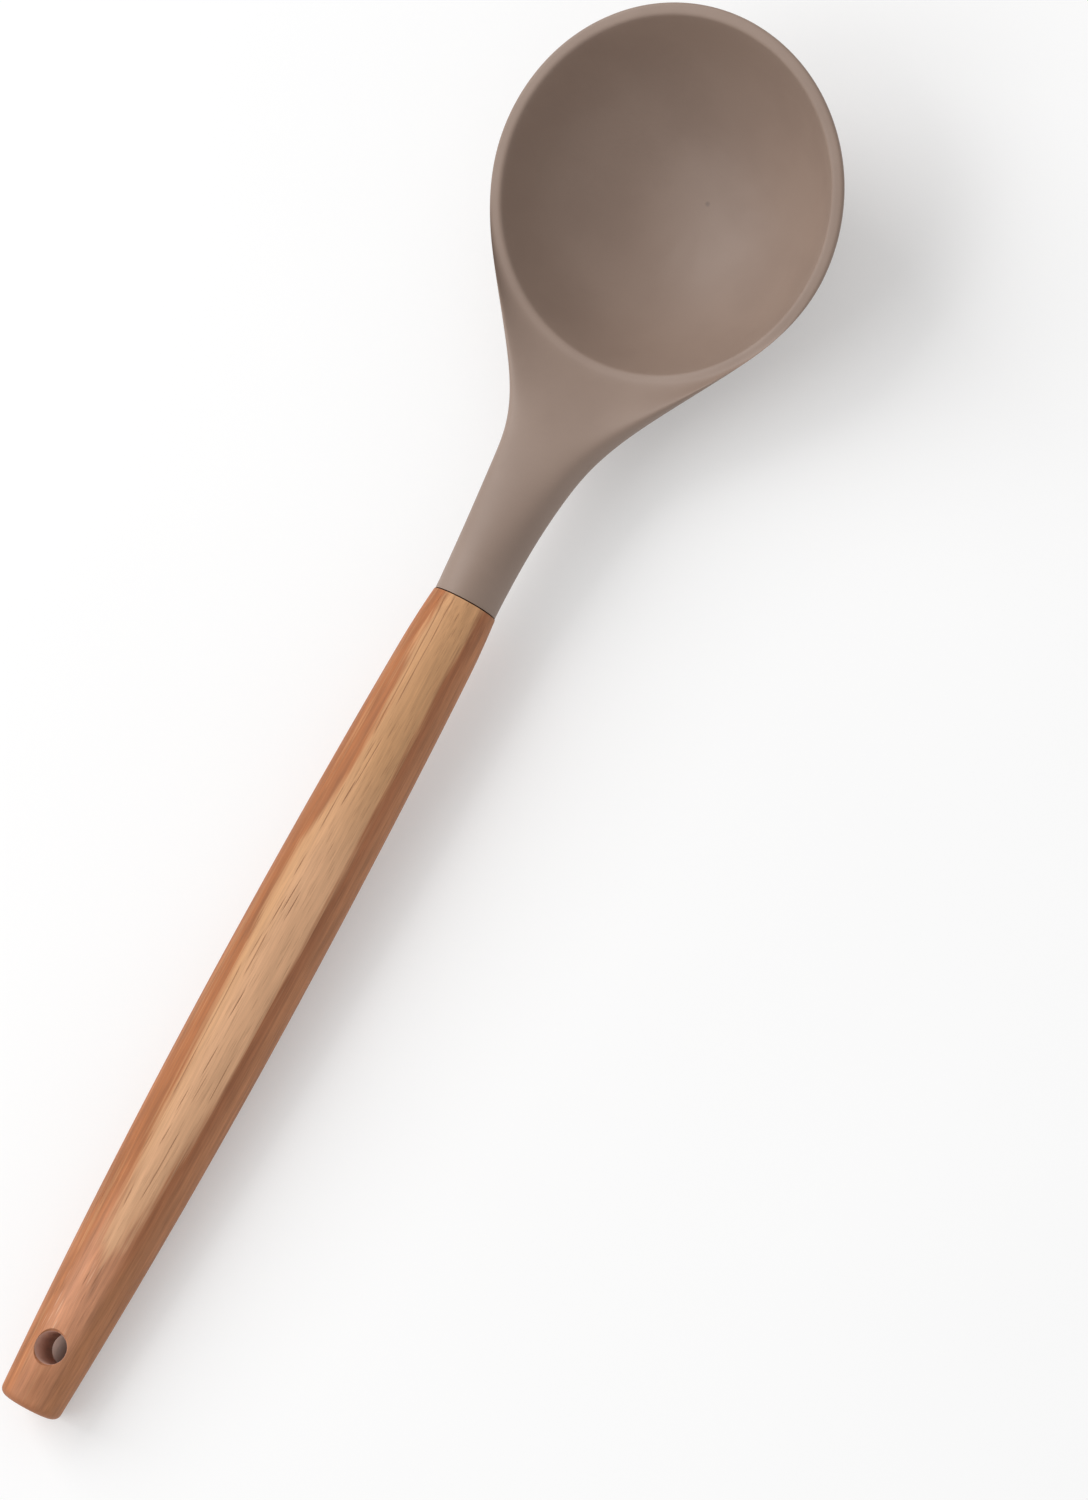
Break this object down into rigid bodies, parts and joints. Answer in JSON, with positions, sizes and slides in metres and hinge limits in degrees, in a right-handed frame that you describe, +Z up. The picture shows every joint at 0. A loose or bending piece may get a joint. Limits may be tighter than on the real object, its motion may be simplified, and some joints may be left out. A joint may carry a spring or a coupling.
{
  "type": "soup ladle",
  "caption": "Soup ladle: round silicone bowl with a flat lip and arched neck, on a barrel-shaped turned wooden handle with a cross-drilled hanging hole.",
  "frame": {"origin": "middle of the bounding box at floor height, with the ladle lying on the bowl's underside and the rear of the handle", "axes": "+Y from the handle's butt to the bowl's tip, +Z up out of the bowl's mouth, +X across"},
  "size_m": [0.085, 0.3402, 0.0457],
  "materials": {
    "silicone": "satin taupe silicone",
    "wood": "oiled, satin",
    "core": "as moulded",
    "glue": "cured adhesive"
  },
  "bodies": {
    "root": {"wood_handle": "wood", "silicone_head": "silicone", "core_insert": "core", "socket_glue": "glue"}
  },
  "joints": []
}
